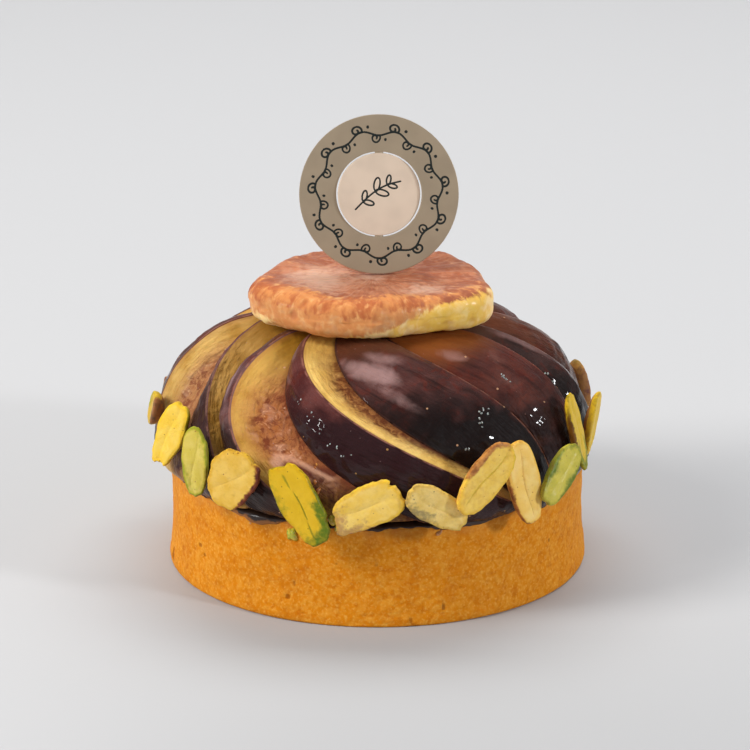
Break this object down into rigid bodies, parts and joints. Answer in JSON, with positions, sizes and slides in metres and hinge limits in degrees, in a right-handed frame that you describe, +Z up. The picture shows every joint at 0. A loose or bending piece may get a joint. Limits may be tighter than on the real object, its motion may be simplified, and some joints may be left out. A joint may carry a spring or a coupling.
{
  "type": "pistachio fig tart",
  "caption": "Round shortcrust tart with glazed fig wedges in a spiral dome, a thick fig slice on top, pistachio halves round the rim and an upright round plaque.",
  "frame": {"origin": "centre of the shell's flat underside, on the surface that the tart stands on", "axes": "+Z up; +X to the right and +Y to the back, seen from the side that the plaque faces"},
  "size_m": [0.0845, 0.0908, 0.0855],
  "materials": {
    "crust": "golden sandy shortcrust, baked, dull",
    "fig": "dark purple-brown fig skin and yellow-brown cut flesh under clear glaze",
    "fig_slice": "peach-orange fig flesh with a cream rind under clear glaze",
    "pistachio": "yellow-green peeled pistachio with bits of brown skin, satin",
    "plaque": "satin pearl taupe, with a brighter rim"
  },
  "bodies": {
    "root": {"base": "crust", "fig_slice": "fig_slice", "fig_wedge_01": "fig", "fig_wedge_02": "fig", "fig_wedge_03": "fig", "fig_wedge_04": "fig", "fig_wedge_05": "fig", "fig_wedge_06": "fig", "fig_wedge_07": "fig", "fig_wedge_08": "fig", "fig_wedge_09": "fig", "fig_wedge_10": "fig", "fig_wedge_11": "fig", "fig_wedge_12": "fig", "fig_wedge_13": "fig", "fig_wedge_14": "fig", "pistachio_01": "pistachio", "pistachio_02": "pistachio", "pistachio_03": "pistachio", "pistachio_04": "pistachio", "pistachio_05": "pistachio", "pistachio_06": "pistachio", "pistachio_07": "pistachio", "pistachio_08": "pistachio", "pistachio_09": "pistachio", "pistachio_10": "pistachio", "pistachio_11": "pistachio", "pistachio_12": "pistachio", "pistachio_13": "pistachio", "pistachio_14": "pistachio", "pistachio_15": "pistachio", "pistachio_16": "pistachio", "pistachio_17": "pistachio", "pistachio_18": "pistachio", "pistachio_19": "pistachio", "pistachio_20": "pistachio", "pistachio_21": "pistachio", "pistachio_22": "pistachio", "pistachio_23": "pistachio", "pistachio_24": "pistachio", "plaque": "plaque"}
  },
  "joints": []
}
